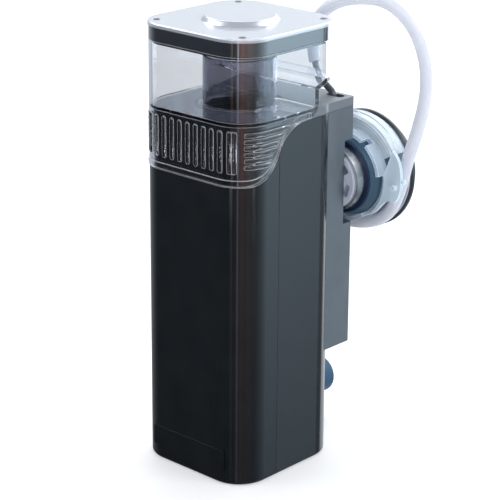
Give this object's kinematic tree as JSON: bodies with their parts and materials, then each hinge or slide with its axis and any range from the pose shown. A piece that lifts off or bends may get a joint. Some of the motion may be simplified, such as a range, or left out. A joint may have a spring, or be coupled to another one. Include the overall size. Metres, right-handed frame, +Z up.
{
  "type": "hang on back filter",
  "caption": "Tower-shaped aquarium protein filter with clear lift-off collecting cup, rear chamber, magnet holder and air hose.",
  "frame": {"origin": "centre of the flat underside of the tower housing", "axes": "+Z up, -Y towards the front shell, +Y towards the aquarium glass"},
  "size_m": [0.1302, 0.1434, 0.2958],
  "materials": {
    "housing_black": "glossy black moulded",
    "collar_black": "glossy black moulded",
    "chamber_black": "satin black moulded",
    "rear_lid_grey": "satin dark grey moulded",
    "inner_plastic": "matte black moulded",
    "sponge": "open-cell foam",
    "cup_clear": "clear acrylic",
    "riser_smoke": "smoked clear acrylic",
    "column_clear": "clear acrylic",
    "seal_rubber": "soft rubber",
    "lid_band": "glossy smoked band",
    "lid_silver": "light silver-grey moulded",
    "screw_steel": "stainless steel",
    "motor_resin": "potting resin",
    "magnet": "plated magnet",
    "ceramic": "ceramic",
    "bush_rubber": "bearing bush",
    "wheel_white": "white moulded",
    "air_tube_grey": "grey translucent tube",
    "silicone": "milky silicone",
    "throttle_grey": "knurled",
    "hub_white": "white nylon",
    "band_steel": "brushed stainless steel",
    "navy_rubber": "navy elastomer",
    "blue_rubber": "slate-blue elastomer",
    "case_dark": "dark blue moulded",
    "guide_clear": "frosted clear polycarbonate",
    "pad_pale": "friction pad",
    "outer_black": "satin black moulded"
  },
  "bodies": {
    "housing": {"front_shell": "housing_black", "rear_housing": "housing_black", "collar": "collar_black", "shell_clips": "inner_plastic", "rear_chamber": "chamber_black", "rear_lid": "rear_lid_grey", "filter_sponge": "sponge", "reaction_tube": "column_clear", "bubble_plate": "column_clear", "motor_body": "motor_resin", "rear_bush": "bush_rubber", "front_bush": "bush_rubber", "well_cover": "inner_plastic", "volute": "inner_plastic", "air_elbow": "air_tube_grey", "inner_air_tube": "silicone", "air_hose": "silicone", "throttle_body": "inner_plastic", "throttle_clip": "inner_plastic", "hub": "hub_white", "hub_screws": "screw_steel", "steel_band": "band_steel", "seal_ring": "navy_rubber", "buffer_ring": "blue_rubber", "inner_magnet": "magnet", "magnet_case": "case_dark", "guide_hood": "guide_clear", "grip_tabs": "guide_clear", "hose_arm": "guide_clear", "inner_pad": "pad_pale", "spacer_stem": "inner_plastic", "spacer_foot": "navy_rubber", "cable_gland": "inner_plastic"},
    "cup": {"collecting_cup": "cup_clear", "riser_tube": "riser_smoke", "cup_seal": "seal_rubber"},
    "lid": {"lid_body": "lid_band", "lid_plate": "lid_silver", "lid_screws": "screw_steel", "lid_gasket": "seal_rubber"},
    "rotor": {"rotor_magnet": "magnet", "rotor_shaft": "ceramic", "needle_wheel": "wheel_white"},
    "throttle": {"throttle_screw": "throttle_grey"},
    "outer_holder": {"outer_pad": "pad_pale", "outer_case": "outer_black", "outer_magnet": "magnet", "outer_cover": "outer_black"}
  },
  "joints": [
    {"name": "cup_lift", "type": "slide", "parent": "housing", "child": "cup", "axis": [0, 0, 1], "range_m": [0, 0.06]},
    {"name": "lid_lift", "type": "slide", "parent": "cup", "child": "lid", "axis": [0, 0, 1], "range_m": [0, 0.04]},
    {"name": "rotor_spin", "type": "hinge", "parent": "housing", "child": "rotor", "pos_m": [0, 0, 0.034], "axis": [0, 1, 0], "continuous": true},
    {"name": "outer_slide", "type": "slide", "parent": "housing", "child": "outer_holder", "axis": [0, 1, 0], "range_m": [0, 0.05]},
    {"name": "throttle_turn", "type": "hinge", "parent": "housing", "child": "throttle", "pos_m": [-0.003, 0.068, 0.147], "axis": [-0.9835, -0.1553, 0.0932], "range_deg": [0, 720]}
  ]
}
